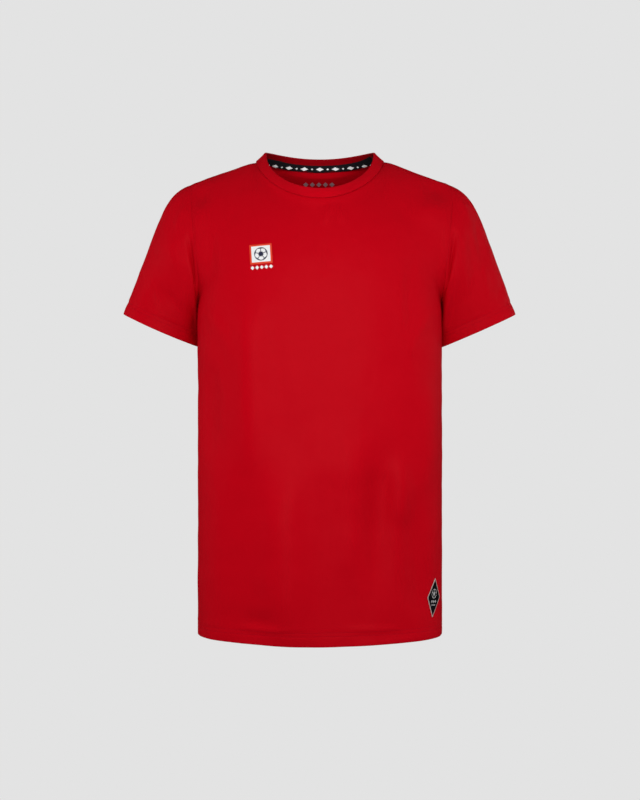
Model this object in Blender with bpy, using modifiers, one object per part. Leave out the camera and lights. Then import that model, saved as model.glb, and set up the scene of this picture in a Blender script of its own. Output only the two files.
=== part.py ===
"""A football jersey, size M, filled out as if worn: front, back, two set-in sleeves, neckband,
neck tape, chest badge and hem patch. Each piece is a thin wall of cloth on one smooth body form.

Metres, +Z up. The front faces -Y and the wearer's left is at +X. The origin is the middle of the
neck opening, level with the high points of the shoulders, where the wearer carries the jersey.
"""

import math
from collections import namedtuple

import bmesh
import bpy
from mathutils import Vector

# Cloth
PANEL_WALL = 0.0015
BAND_WALL = 0.0020
TRIM_WALL = 0.0010
SEAM_GAP = 0.0005
SIDE_INSET, TOP_INSET = 0.0010, 0.0014  # shares of a panel that leave the gap at its seams
LIFT = 0.0006

# Body below the underarm: level sections, rounder than a box and squarer than an ellipse
HEM_LEVEL, HEM_SIDE_RISE, HEM_RISE_POWER = -0.6985, 0.0065, 1.3
UNDERARM_LEVEL = -0.213
WIDEST_Y = -0.022
SIDE_SEAM_Y = 0.008
SQUARENESS = 2.4

# Neckline, where the neckband is sewn on, and the band's top edge
NECK_HALF_WIDTH = 0.0943
NECK_FRONT_Y, NECK_BACK_Y = -0.0930, 0.0620
NECK_SIDE_LEVEL, NECK_FRONT_LEVEL, NECK_BACK_LEVEL = 0.0020, -0.0636, -0.0040
NECK_DROP_POWER = 1.25
NECK_FULLNESS = 0.9  # below 1, the front of the neckline is squarer than an ellipse in plan
BAND_HALF_WIDTH = 0.0808
BAND_FRONT_Y, BAND_BACK_Y = -0.0815, 0.0560
BAND_SIDE_LEVEL, BAND_FRONT_LEVEL, BAND_BACK_LEVEL = 0.0160, -0.0481, 0.0137
BAND_CROWN = 0.0010
BAND_FULLNESS = 0.8
SHOULDER_TURN = math.radians(11)
SHOULDER_SEAM_CROWN = 0.005
NECK_SHARE = 0.55

# Sleeve opening at the cuff, an ellipse about square to the upper arm
CUFF_CENTRE = Vector((0.2362, 0.0215, -0.2476))
CUFF_OUTWARD = Vector((0.0537, -0.0165, 0.0230))
CUFF_FORWARD = Vector((-0.0104, -0.0433, -0.0068))

# Neck tape, measured along the band from its seam, at the middle of the back
TAPE_ABOVE, TAPE_BELOW = 0.0075, 0.0020

# Trim on the front: middle, size and how far its top leans towards the wearer's left
BADGE_X, BADGE_Z, BADGE_WIDTH, BADGE_HEIGHT = -0.0834, -0.1450, 0.0320, 0.0286
BADGE_LEAN = math.radians(-4)
PATCH_X, PATCH_Z, PATCH_WIDTH, PATCH_HEIGHT = 0.1655, -0.6380, 0.0190, 0.0560
PATCH_LEAN = math.radians(5)

# Grid steps: across half a panel, up it below and above the underarm, along a sleeve
NECK_COLUMNS, SHOULDER_COLUMNS = 7, 6
LOWER_STEPS = 16
UPPER_STEPS = 13
SLEEVE_STEPS = 9
TRIM_STEPS = 4

# Search for the place of a trim on the front: first guess, step, share of each move, moves
SEARCH_WIDTH, SEARCH_STEP, SEARCH_SHARE, SEARCH_MOVES = 0.25, 0.001, 0.7, 30

RED = (0.47, 0.004, 0.012)
BAND_RED = (0.52, 0.005, 0.014)
BLACK = (0.012, 0.012, 0.014)
WHITE = (0.80, 0.80, 0.80)

Section = namedtuple("Section", "level half_width front back")
SECTIONS = (
    Section(-0.697, 0.1790, -0.130, 0.118),
    Section(-0.560, 0.1790, -0.128, 0.110),
    Section(-0.430, 0.1790, -0.127, 0.105),
    Section(-0.320, 0.1790, -0.127, 0.109),
    Section(-0.213, 0.1790, -0.126, 0.114),
)

# The armhole seam at +X, from the underarm round by the front
ArmholePoint = namedtuple("ArmholePoint", "x y z")
ARMHOLE = (
    ArmholePoint(0.1778, 0.008, -0.213),
    ArmholePoint(0.1790, -0.024, -0.204),
    ArmholePoint(0.1798, -0.046, -0.180),
    ArmholePoint(0.1830, -0.057, -0.146),
    ArmholePoint(0.1875, -0.055, -0.105),
    ArmholePoint(0.1908, -0.042, -0.072),
    ArmholePoint(0.1923, -0.016, -0.0383),
    ArmholePoint(0.1930, 0.008, -0.0342),
    ArmholePoint(0.1912, 0.035, -0.0480),
    ArmholePoint(0.1865, 0.057, -0.085),
    ArmholePoint(0.1820, 0.064, -0.128),
    ArmholePoint(0.1785, 0.056, -0.172),
    ArmholePoint(0.1765, 0.036, -0.203),
)
SHOULDER_SEAM_POINT = 6

# How the cloth of a panel rises from the underarm level and reaches its top edge: share is the way
# from the centre to the side, rise the upward pull, and in_y and in_z the pull into the top edge
Rise = namedtuple("Rise", "share rise in_y in_z")
FRONT_RISES = (
    Rise(0.00, 0.060, 0.018, 0.045),
    Rise(0.20, 0.060, 0.020, 0.043),
    Rise(0.40, 0.062, 0.028, 0.036),
    Rise(0.55, 0.064, 0.038, 0.026),
    Rise(0.70, 0.062, 0.046, 0.020),
    Rise(0.85, 0.050, 0.048, 0.020),
    Rise(1.00, 0.030, 0.048, 0.022),
)
BACK_RISES = (
    Rise(0.00, 0.080, -0.036, 0.044),
    Rise(0.20, 0.084, -0.040, 0.036),
    Rise(0.40, 0.092, -0.046, 0.012),
    Rise(0.55, 0.100, -0.052, -0.017),
    Rise(0.70, 0.100, -0.058, -0.019),
    Rise(0.85, 0.080, -0.060, -0.020),
    Rise(1.00, 0.045, -0.060, -0.020),
)
INWARD_PULL = 0.6  # how much of a lengthwise line's way across lies in that pull
ARMHOLE_CUT = 0.24  # the share of a panel's width that the armhole takes
CUT_POWER_BELOW, CUT_POWER_ABOVE = 0.7, 1.3
ARMHOLE_PULL_POWER = 3  # how near the armhole the cloth is drawn onto its seam
FOLD_FADE_POWER = 6  # how near the side seams the folds die away

# How a sleeve leaves the armhole and reaches the cuff: turn runs as the armhole does
Leave = namedtuple("Leave", "turn x y z to_x to_y to_z")
LEAVES = (
    Leave(0.00, 0.008, 0.004, -0.018, 0.004, 0.006, -0.022),
    Leave(0.12, 0.014, -0.004, -0.022, 0.006, 0.006, -0.034),
    Leave(0.28, 0.036, -0.004, -0.026, 0.020, 0.008, -0.060),
    Leave(0.42, 0.040, -0.002, -0.016, 0.040, 0.006, -0.110),
    Leave(0.50, 0.040, 0.000, -0.014, 0.0475, 0.004, -0.130),
    Leave(0.60, 0.040, 0.004, -0.016, 0.040, 0.002, -0.110),
    Leave(0.74, 0.036, 0.010, -0.026, 0.020, -0.004, -0.060),
    Leave(0.90, 0.014, 0.010, -0.022, 0.006, 0.002, -0.034),
)

# Soft folds of the panels: a lift below zero is a trough
Fold = namedtuple("Fold", "x z half_width half_length lean lift")
FRONT_FOLDS = (
    Fold(0.078, -0.515, 0.016, 0.085, 0.02, -0.0022),
    Fold(0.106, -0.485, 0.014, 0.050, 0.02, 0.0020),
    Fold(0.128, -0.560, 0.015, 0.065, 0.05, -0.0024),
    Fold(-0.045, -0.300, 0.020, 0.085, -0.04, 0.0016),
    Fold(-0.145, -0.375, 0.022, 0.040, 0.10, -0.0020),
    Fold(-0.096, -0.640, 0.030, 0.040, 0.25, -0.0020),
)
BACK_FOLDS = (
    Fold(0.070, -0.330, 0.022, 0.110, 0.10, -0.0026),
    Fold(-0.040, -0.420, 0.020, 0.120, -0.05, 0.0022),
    Fold(-0.110, -0.300, 0.018, 0.090, -0.12, -0.0024),
    Fold(0.020, -0.560, 0.024, 0.080, 0.06, -0.0020),
    Fold(0.125, -0.560, 0.018, 0.075, 0.04, 0.0020),
)


def curve_through(rows, key):
    """The values at key on a smooth curve through rows, whose first value is the key."""
    index = max([i for i in range(len(rows) - 1) if rows[i][0] <= key] or [0])
    here, there = rows[index], rows[index + 1]
    before, after = rows[max(index - 1, 0)], rows[min(index + 2, len(rows) - 1)]
    span = there[0] - here[0]
    t = (key - here[0]) / span
    values = []
    for i in range(1, len(here)):
        start_slope = (there[i] - before[i]) / (there[0] - before[0]) * span
        end_slope = (after[i] - here[i]) / (after[0] - here[0]) * span
        values.append(
            (2 * t**3 - 3 * t**2 + 1) * here[i]
            + (t**3 - 2 * t**2 + t) * start_slope
            + (3 * t**2 - 2 * t**3) * there[i]
            + (t**3 - t**2) * end_slope
        )
    return values


def closed(rows):
    """Rows that run once round, with the ones before and after them, so that the curve closes."""
    early = [(row[0] - 1, *row[1:]) for row in rows[-2:]]
    late = [(row[0] + 1, *row[1:]) for row in rows[:2]]
    return [*early, *rows, *late]


def bezier(start, leave, arrive, end, t):
    """A point of the curve that leaves start by one pull and reaches end by another."""
    u = 1 - t
    return (
        start * u**3
        + (start + leave) * 3 * u**2 * t
        + (end - arrive) * 3 * u * t**2
        + end * t**3
    )


def signed_power(value, power):
    return math.copysign(abs(value) ** power, value)


def armhole_table():
    """The armhole's points with the share of the way round at each."""
    points = [Vector(point) for point in ARMHOLE]
    steps = [(b - a).length for a, b in zip(points, points[1:] + points[:1])]
    return [(sum(steps[:i]) / sum(steps), *point) for i, point in enumerate(points)]


ARMHOLE_TABLE = armhole_table()
SHOULDER_SEAM_SHARE = ARMHOLE_TABLE[SHOULDER_SEAM_POINT][0]


def armhole_point(turn):
    return Vector(curve_through(closed(ARMHOLE_TABLE), turn % 1))


def section_point(angle, level):
    """A point of the body. The angle runs from the middle of the front to the wearer's left."""
    half_width, front, back = curve_through(SECTIONS, level)
    reach = front - WIDEST_Y if math.cos(angle) > 0 else back - WIDEST_Y
    power = 2 / SQUARENESS
    x = half_width * signed_power(math.sin(angle), power)
    return Vector((x, WIDEST_Y + reach * abs(math.cos(angle)) ** power, level))


def side_seam_angle():
    """The angle at which the section at the underarm crosses SIDE_SEAM_Y."""
    back = SECTIONS[-1].back
    share = (SIDE_SEAM_Y - WIDEST_Y) / (back - WIDEST_Y)
    return math.pi / 2 + math.asin(share ** (SQUARENESS / 2))


def even_angles(first, last, steps=400):
    """Rows of (share of the cloth's width from the centre to the side seam, angle)."""
    angles = [first + (last - first) * i / steps for i in range(steps + 1)]
    points = [section_point(angle, UNDERARM_LEVEL) for angle in angles]
    lengths = [0.0]
    for a, b in zip(points, points[1:]):
        lengths.append(lengths[-1] + (b - a).length)
    every = steps // 20
    return [(lengths[i] / lengths[-1], angles[i]) for i in range(0, steps + 1, every)]


def neck_seam(turn):
    """The seam of the neckband. The turn is 0 at +X and a quarter at the front."""
    back = math.sin(turn) < 0
    depth = abs(math.sin(turn))
    y = NECK_BACK_Y * depth if back else NECK_FRONT_Y * depth**NECK_FULLNESS
    level = NECK_BACK_LEVEL if back else NECK_FRONT_LEVEL
    z = NECK_SIDE_LEVEL + (level - NECK_SIDE_LEVEL) * depth**NECK_DROP_POWER
    return Vector((NECK_HALF_WIDTH * math.cos(turn), y, z))


def band_edge(turn):
    """The top edge of the neckband."""
    back = math.sin(turn) < 0
    depth = abs(math.sin(turn))
    y = BAND_BACK_Y * depth if back else BAND_FRONT_Y * depth**BAND_FULLNESS
    level = BAND_BACK_LEVEL if back else BAND_FRONT_LEVEL
    z = BAND_SIDE_LEVEL + (level - BAND_SIDE_LEVEL) * depth ** (2 if back else 1)
    return Vector((BAND_HALF_WIDTH * math.cos(turn), y, z))


# A body panel: its widths, the turn of the neckline's middle, its rises and folds, and where its
# armhole edge begins on the armhole seam
Panel = namedtuple("Panel", "angles neck_turn rises folds underarm_turn outward")
FRONT = Panel(
    even_angles(0, side_seam_angle()), math.pi / 2, FRONT_RISES, FRONT_FOLDS, 0, -1
)
BACK = Panel(
    even_angles(math.pi, side_seam_angle()), -math.pi / 2, BACK_RISES, BACK_FOLDS, 1, 1
)


def top_edge(panel, share):
    """The neckline out to NECK_SHARE, and then the shoulder seam."""
    if share <= NECK_SHARE:
        way = share / NECK_SHARE
        return neck_seam(panel.neck_turn + (SHOULDER_TURN - panel.neck_turn) * way)
    inner, outer = neck_seam(SHOULDER_TURN), Vector(ARMHOLE[SHOULDER_SEAM_POINT])
    way = (share - NECK_SHARE) / (1 - NECK_SHARE)
    crown = Vector((0, 0, SHOULDER_SEAM_CROWN * math.sin(math.pi * way)))
    return inner.lerp(outer, way) + crown


def rising_line(panel, share, up):
    """A lengthwise line of the panel above the underarm, before the armhole is cut into it."""
    angle = curve_through(panel.angles, share)[0]
    rise, in_y, in_z = curve_through(panel.rises, share)
    base, top = section_point(angle, UNDERARM_LEVEL), top_edge(panel, share)
    pull = Vector((INWARD_PULL * (top.x - base.x), in_y, in_z))
    return bezier(base, Vector((0, 0, rise)), pull, top, up)


def fold_lift(panel, share, x, z):
    """How far the folds move the cloth out. They die away at the side seams."""
    total = 0
    for fold in panel.folds:
        along = (z - fold.z) / fold.half_length
        across = (x - fold.x - fold.lean * (z - fold.z)) / fold.half_width
        total += fold.lift * math.exp(-(along**2) - across**2)
    return total * (1 - share**FOLD_FADE_POWER)


def panel_point(panel, across, up):
    """A point of a panel. Across runs from -1 to 1, and up from 0 at the hem to 1 at the top."""
    share = abs(across)
    underarm_up = LOWER_STEPS / (LOWER_STEPS + UPPER_STEPS)
    if up <= underarm_up:
        hem = HEM_LEVEL + HEM_SIDE_RISE * share**HEM_RISE_POWER
        level = hem + (UNDERARM_LEVEL - hem) * up / underarm_up
        point = section_point(curve_through(panel.angles, share)[0], level)
    else:
        way = (up - underarm_up) / (1 - underarm_up)
        turn = panel.underarm_turn + (SHOULDER_SEAM_SHARE - panel.underarm_turn) * way
        power = CUT_POWER_BELOW + (CUT_POWER_ABOVE - CUT_POWER_BELOW) * way
        full = 1 - ARMHOLE_CUT * math.sin(math.pi * min(way, 1)) ** power
        left = armhole_point(turn) - rising_line(panel, full, way)
        point = rising_line(panel, share * full, way) + left * share**ARMHOLE_PULL_POWER
    point.x = math.copysign(point.x, across)
    point.y += panel.outward * fold_lift(panel, share, point.x, point.z)
    return point


def panel_normal(panel, across, up):
    step = SEARCH_STEP
    along_x = panel_point(panel, across + step, up) - panel_point(panel, across - step, up)
    along_z = panel_point(panel, across, up + step) - panel_point(panel, across, up - step)
    normal = along_x.cross(along_z).normalized()
    return normal if normal.y * panel.outward > 0 else -normal


def front_place(x, z):
    """The across and up of the front panel's point that lies at x and z."""
    across, up, step = x / SEARCH_WIDTH, 0.5, SEARCH_STEP
    for _ in range(SEARCH_MOVES):
        here = panel_point(FRONT, across, up)
        by_across = (panel_point(FRONT, across + step, up) - here) / step
        by_up = (panel_point(FRONT, across, up + step) - here) / step
        scale = by_across.x * by_up.z - by_up.x * by_across.z
        miss_x, miss_z = x - here.x, z - here.z
        across += SEARCH_SHARE * (miss_x * by_up.z - miss_z * by_up.x) / scale
        up += SEARCH_SHARE * (miss_z * by_across.x - miss_x * by_across.z) / scale
    return across, up


def sleeve_point(turn, down):
    """A point of the sleeve at +X. The turn runs as the armhole's, and down from 0 to 1 at the cuff."""
    start = armhole_point(turn) + Vector((SEAM_GAP, 0, 0))
    angle = math.pi * (1 - 2 * turn)
    end = CUFF_CENTRE + CUFF_OUTWARD * math.cos(angle) + CUFF_FORWARD * math.sin(angle)
    pulls = curve_through(closed(LEAVES), turn % 1)
    return bezier(start, Vector(pulls[:3]), Vector(pulls[3:]), end, down)


def sleeve_turn(step):
    """The turn at a grid step: the steps meet those of the two panels round the armhole."""
    if step <= UPPER_STEPS:
        return SHOULDER_SEAM_SHARE * step / UPPER_STEPS
    return SHOULDER_SEAM_SHARE + (1 - SHOULDER_SEAM_SHARE) * (step / UPPER_STEPS - 1)


def cloth_material(name, colour, roughness):
    material = bpy.data.materials.new(name)
    material.use_nodes = True
    shader = material.node_tree.nodes["Principled BSDF"]
    shader.inputs["Base Color"].default_value = (*colour, 1)
    shader.inputs["Roughness"].default_value = roughness
    shader.inputs["Metallic"].default_value = 0
    material.diffuse_color = (*colour, 1)
    return material


def cloth_piece(name, steps_round, steps_along, place, wall, material, outward):
    """A wall of cloth on a grid. place(i, j) gives the point at a grid step of the outer face.
    outward(point, normal) says whether a face's normal points out of the piece."""
    bm = bmesh.new()
    bmesh.ops.create_grid(bm, x_segments=steps_round, y_segments=steps_along, size=1)
    for vert in bm.verts:
        i = round((vert.co.x + 1) / 2 * steps_round)
        j = round((vert.co.y + 1) / 2 * steps_along)
        vert.co = place(i, j)
    bmesh.ops.remove_doubles(bm, verts=bm.verts, dist=1e-6)
    bm.normal_update()
    bm.faces.ensure_lookup_table()
    face = bm.faces[len(bm.faces) // 2]
    if not outward(face.calc_center_median(), face.normal):
        bmesh.ops.reverse_faces(bm, faces=bm.faces)
    mesh = bpy.data.meshes.new(name)
    bm.to_mesh(mesh)
    bm.free()
    mesh.materials.append(material)
    mesh.shade_smooth()
    piece = bpy.data.objects.new(name, mesh)
    solidify = piece.modifiers.new("Wall", "SOLIDIFY")
    solidify.thickness = wall
    solidify.offset = -1
    return piece


def column_share(column):
    """The share of the way from the centre to the side at a lengthwise line of the grid."""
    if column <= NECK_COLUMNS:
        return NECK_SHARE * column / NECK_COLUMNS
    return NECK_SHARE + (1 - NECK_SHARE) * (column - NECK_COLUMNS) / SHOULDER_COLUMNS


def body_panel(name, panel, material):
    half = NECK_COLUMNS + SHOULDER_COLUMNS
    rows = LOWER_STEPS + UPPER_STEPS

    def place(i, j):
        share = min(column_share(abs(i - half)), 1 - SIDE_INSET)
        up = min(j / rows, 1 - TOP_INSET)
        return panel_point(panel, math.copysign(share, i - half), up)

    def outward(_, normal):
        return normal.y * panel.outward > 0

    return cloth_piece(name, 2 * half, rows, place, PANEL_WALL, material, outward)


def sleeve(name, side, material):
    def place(i, j):
        point = sleeve_point(sleeve_turn(i), j / SLEEVE_STEPS)
        return Vector((side * point.x, point.y, point.z))

    def outward(point, normal):
        middle = Vector((side * CUFF_CENTRE.x, CUFF_CENTRE.y, point.z))
        return normal.dot(point - middle) > 0

    return cloth_piece(
        name, 2 * UPPER_STEPS, SLEEVE_STEPS, place, PANEL_WALL, material, outward
    )


def band_turns():
    """The turns at the panels' lengthwise lines that reach the neckline, once round."""
    front_step = (math.pi / 2 - SHOULDER_TURN) / NECK_COLUMNS
    back_step = (math.pi / 2 + SHOULDER_TURN) / NECK_COLUMNS
    count = 2 * NECK_COLUMNS
    front = [SHOULDER_TURN + front_step * i for i in range(count)]
    back = [math.pi - SHOULDER_TURN + back_step * i for i in range(count + 1)]
    return front + back


BAND_TURNS = band_turns()


def band_line(step):
    """The band's seam and top edge at a step. Even steps meet the corners of the panels' edge,
    and odd ones the middles of its straight sides."""
    before, after = BAND_TURNS[step // 2], BAND_TURNS[(step + 1) // 2]
    seam = neck_seam(before).lerp(neck_seam(after), 0.5)
    return seam, band_edge((before + after) / 2)


def neckband(material):
    def place(i, j):
        seam, edge = band_line(i)
        first = SEAM_GAP / (edge - seam).length
        crown = Vector((seam.x, seam.y, 0)).normalized() * BAND_CROWN
        return seam.lerp(edge, first if j == 0 else j / 2) + crown * (j == 1)

    def outward(point, normal):
        return normal.dot(Vector((point.x, point.y, 0))) > 0

    steps = 2 * (len(BAND_TURNS) - 1)
    return cloth_piece("neckband", steps, 2, place, BAND_WALL, material, outward)


def neck_tape(material):
    first = 4 * NECK_COLUMNS
    steps = 4 * NECK_COLUMNS

    def place(i, j):
        seam, edge = band_line(first + i)
        before, after = band_line(first + max(i - 1, 0)), band_line(first + min(i + 1, steps))
        upward = (edge - seam).normalized()
        inward = upward.cross(after[0] - before[0]).normalized()
        if inward.dot(Vector((seam.x, seam.y, 0))) > 0:
            inward.negate()
        below = TAPE_BELOW * max(0, seam.y) / NECK_BACK_Y
        height = (-below, TAPE_ABOVE)[j]
        return seam + upward * height + inward * (BAND_WALL + LIFT)

    def outward(point, normal):
        return normal.dot(Vector((point.x, point.y, 0))) > 0

    return cloth_piece("neck_tape", steps, 1, place, TRIM_WALL, material, outward)


def trim_on_front(name, corner, material):
    """A flat trim on the front. corner(a, b) gives its x and z at a share across and a share up."""

    def place(i, j):
        x, z = corner(i / TRIM_STEPS, j / TRIM_STEPS)
        across, up = front_place(x, z)
        out = LIFT + TRIM_WALL
        return panel_point(FRONT, across, up) + panel_normal(FRONT, across, up) * out

    def outward(_, normal):
        return normal.y < 0

    return cloth_piece(name, TRIM_STEPS, TRIM_STEPS, place, TRIM_WALL, material, outward)


def turned(x, z, lean):
    """x and z turned so that their top leans towards the wearer's left."""
    return (
        x * math.cos(lean) + z * math.sin(lean),
        z * math.cos(lean) - x * math.sin(lean),
    )


def badge_corner(a, b):
    x, z = turned((a - 0.5) * BADGE_WIDTH, (b - 0.5) * BADGE_HEIGHT, BADGE_LEAN)
    return BADGE_X + x, BADGE_Z + z


def patch_corner(a, b):
    x = (a - b) / 2 * PATCH_WIDTH
    z = (a + b - 1) / 2 * PATCH_HEIGHT
    x, z = turned(x, z, PATCH_LEAN)
    return PATCH_X + x, PATCH_Z + z


def main():
    for left_over in list(bpy.data.objects):
        bpy.data.objects.remove(left_over)

    red = cloth_material("red_jersey_knit", RED, 0.75)
    pieces = [
        body_panel("front", FRONT, red),
        body_panel("back", BACK, red),
        sleeve("sleeve_left", 1, red),
        sleeve("sleeve_right", -1, red),
        neckband(cloth_material("red_rib", BAND_RED, 0.7)),
        neck_tape(cloth_material("black_tape", BLACK, 0.7)),
        trim_on_front("chest_badge", badge_corner, cloth_material("badge", WHITE, 0.5)),
        trim_on_front("hem_patch", patch_corner, cloth_material("patch", BLACK, 0.5)),
    ]
    jersey = bpy.data.collections.new("football_jersey")
    bpy.context.scene.collection.children.link(jersey)
    for piece in pieces:
        jersey.objects.link(piece)


main()
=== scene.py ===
import math
from collections import namedtuple

import bmesh
import bpy
import numpy as np
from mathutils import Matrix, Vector, noise
from mathutils.bvhtree import BVHTree


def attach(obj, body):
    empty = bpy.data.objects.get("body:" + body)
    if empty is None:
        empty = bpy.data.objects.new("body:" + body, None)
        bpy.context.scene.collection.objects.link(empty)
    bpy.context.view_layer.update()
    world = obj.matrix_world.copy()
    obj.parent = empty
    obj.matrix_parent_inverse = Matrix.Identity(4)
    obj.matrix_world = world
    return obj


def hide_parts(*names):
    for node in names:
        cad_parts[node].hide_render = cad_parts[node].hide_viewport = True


# A football jersey, filled out as if worn. Metres, +Z up, the front faces -Y, the wearer's left is +X.

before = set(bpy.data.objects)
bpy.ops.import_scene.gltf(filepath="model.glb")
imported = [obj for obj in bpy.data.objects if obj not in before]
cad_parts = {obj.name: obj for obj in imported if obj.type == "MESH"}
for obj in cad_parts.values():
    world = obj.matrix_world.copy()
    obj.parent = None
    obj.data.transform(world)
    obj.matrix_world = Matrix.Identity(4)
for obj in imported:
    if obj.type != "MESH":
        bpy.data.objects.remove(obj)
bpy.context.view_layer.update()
print("frame loaded")


def table(columns, *rows):  # a list of rows whose columns have names
    row = namedtuple("row", columns)
    return [row(*values) for values in rows]


def millimetreTable(columns, *rows, plain=0):  # the same, in millimetres but for the first plain columns
    return table(columns, *[(*row[:plain], *[value / 1000 for value in row[plain:]]) for row in rows])


def placed(name, data):
    item = bpy.data.objects.new(name, data)
    bpy.context.scene.collection.objects.link(item)
    return item


def nodeMaterial(name):
    material = bpy.data.materials.new(name)
    material.use_nodes = True
    return material


def setInputs(material, node, inputs):  # by name, each a value or a socket to link
    for name, value in inputs.items():
        if isinstance(value, bpy.types.NodeSocket):
            material.node_tree.links.new(value, node.inputs[name])
        else:
            node.inputs[name].default_value = value


def addNode(material, kind, inputs, **settings):  # gives the new node's outputs
    node = material.node_tree.nodes.new("ShaderNode" + kind)
    for name, value in settings.items():
        setattr(node, name, value)
    setInputs(material, node, inputs)
    return node.outputs


def nodeMaths(material):  # calc("MULTIPLY", a, b) gives the result's socket
    def calc(operation, *values):
        return addNode(material, "Math", dict(enumerate(values)), operation=operation)["Value"]

    return calc


def setShader(material, inputs):
    setInputs(material, material.node_tree.nodes["Principled BSDF"], inputs)


studio = {
    "cameraPlace": (0.0002, -2.4, -0.352),
    "lens": 72.72,
    "pale": 0.7682,  # brightness of the floor and of what is beyond it
    "floorLevel": -1.45,  # the jersey is up at shoulder height
    "floorHalf": 60.0,
    "softLight": 0.3,  # from all round
    "lights": table(  # a disk has a size in metres, and a spot has a cone in degrees
        "name place aim power size cone shine",
        ("keyFront", (0.03, -1.05, -0.15), (0, -0.1, -0.26), 5.9, 0.7, 0, True),
        ("keyBack", (-0.03, 1.05, -0.15), (0, 0.1, -0.26), 5.9, 0.7, 0, False),
        ("softFrontLeft", (0.95, -0.95, 0.1), (0, 0, -0.3), 1.9, 0.7, 0, False),
        ("softBackLeft", (0.95, 0.95, 0.1), (0, 0, -0.3), 1.9, 0.7, 0, False),
        ("softFrontRight", (-0.95, -0.95, 0.1), (0, 0, -0.3), 1.9, 0.7, 0, False),
        ("softBackRight", (-0.95, 0.95, 0.1), (0, 0, -0.3), 1.9, 0.7, 0, False),
        ("softLeft", (1.15, 0, -0.2), (0, 0, -0.3), 2.9, 0.8, 0, False),
        ("softRight", (-1.15, 0, -0.2), (0, 0, -0.3), 3.5, 0.8, 0, False),
        ("intoNeck", (0, -1.0, -0.25), (0, 0.06, 0.028), 14.0, 0, 7.8, False),
    ),
}


def addCamera():
    data = bpy.data.cameras.new("camera")
    data.lens = studio["lens"]
    data.sensor_width = 36
    camera = placed("camera", data)
    camera.location = studio["cameraPlace"]
    camera.rotation_euler = (math.radians(90), 0, 0)
    bpy.context.scene.camera = camera


def addLight(light):
    data = bpy.data.lights.new(light.name, "SPOT" if light.cone else "AREA")
    data.energy = light.power
    if light.cone:
        data.spot_size = math.radians(light.cone)
        data.spot_blend = 1.0
    else:
        data.shape = "DISK"
        data.size = light.size
    lamp = placed(light.name, data)
    lamp.location = light.place
    lamp.rotation_euler = (Vector(light.aim) - Vector(light.place)).to_track_quat("-Z", "Y").to_euler()
    lamp.visible_camera = False
    lamp.visible_glossy = light.shine


def addStudio():
    pale = (*[studio["pale"]] * 3, 1)
    world = bpy.data.worlds.new("paleStudio")
    world.use_nodes = True
    nodes = world.node_tree.nodes
    setInputs(world, nodes["Background"], {"Color": pale})  # seen by the camera only
    soft = addNode(world, "Background", {"Color": (1, 1, 1, 1), "Strength": studio["softLight"]})
    either = addNode(world, "MixShader", {
        "Fac": addNode(world, "LightPath", {})["Is Camera Ray"],
        1: soft["Background"], 2: nodes["Background"].outputs["Background"],
    })
    setInputs(world, nodes["World Output"], {"Surface": either["Shader"]})
    bpy.context.scene.world = world
    world.cycles_visibility.glossy = False
    bpy.context.scene.view_settings.view_transform = "Standard"

    bm = bmesh.new()
    bmesh.ops.create_grid(bm, x_segments=1, y_segments=1, size=studio["floorHalf"])
    bmesh.ops.translate(bm, verts=bm.verts, vec=(0, 0, studio["floorLevel"]))
    mesh = bpy.data.meshes.new("floor")
    bm.to_mesh(mesh)
    bm.free()
    paint = nodeMaterial("paleFloor")
    setShader(paint, {
        "Base Color": (0, 0, 0, 1),  # evenly lit, with no horizon
        "Emission Color": pale, "Emission Strength": 1.0,
        "Roughness": 1.0, "Specular IOR Level": 0.0,
    })
    mesh.materials.append(paint)
    floor = placed("floor", mesh)
    floor.visible_diffuse = floor.visible_glossy = floor.visible_shadow = False
    for light in studio["lights"]:
        addLight(light)


addCamera()
addStudio()
print("camera, lights and floor made")

# Curves and surfaces. Arrays of points have x, y and z along their last axis.


def smoothRows(rows, key):  # values at key on a smooth curve through rows, whose first value is the key
    rows = np.array(rows, float)
    key = np.asarray(key, float)
    last = len(rows) - 1
    here = np.clip(np.searchsorted(rows[:, 0], key, side="right") - 1, 0, last - 1)
    there = here + 1
    before, after = np.maximum(here - 1, 0), np.minimum(there + 1, last)
    keys, values = rows[:, 0], rows[:, 1:]
    span = (keys[there] - keys[here])[..., None]
    t = (key - keys[here])[..., None] / span
    startSlope = (values[there] - values[before]) / (keys[there] - keys[before])[..., None] * span
    endSlope = (values[after] - values[here]) / (keys[after] - keys[here])[..., None] * span
    return (
        (2 * t**3 - 3 * t**2 + 1) * values[here]
        + (t**3 - 2 * t**2 + t) * startSlope
        + (3 * t**2 - 2 * t**3) * values[there]
        + (t**3 - t**2) * endSlope
    )


def closedRows(rows):  # rows that run once round, with the ones before and after them
    early = [(row[0] - 1, *row[1:]) for row in rows[-2:]]
    late = [(row[0] + 1, *row[1:]) for row in rows[:2]]
    return [*early, *rows, *late]


def bezier(start, leave, arrive, end, t):
    u = 1 - t
    return (
        start * u**3
        + (start + leave) * 3 * u**2 * t
        + (end - arrive) * 3 * u * t**2
        + end * t**3
    )


def signedPower(value, power):
    return np.sign(value) * np.abs(value) ** power


def stacked(x, y, z):
    return np.stack(np.broadcast_arrays(x, y, z), axis=-1)


def unit(vectors):
    return vectors / np.maximum(np.linalg.norm(vectors, axis=-1, keepdims=True), 1e-12)


def step(low, high, value):  # 0 at low, 1 at high and smooth between
    t = np.clip((value - low) / (high - low), 0, 1)
    return t * t * (3 - 2 * t)


def hump(value, centre, width):  # 1 at the centre, and fading on both sides
    return np.exp(-(((value - centre) / width) ** 2))


def lengthAlong(points):  # along the first axis, from the first point to each
    steps = np.linalg.norm(np.diff(points, axis=0), axis=-1)
    return np.concatenate([0 * steps[:1], np.cumsum(steps, axis=0)])


# The form of the body, as its solids have it

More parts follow.
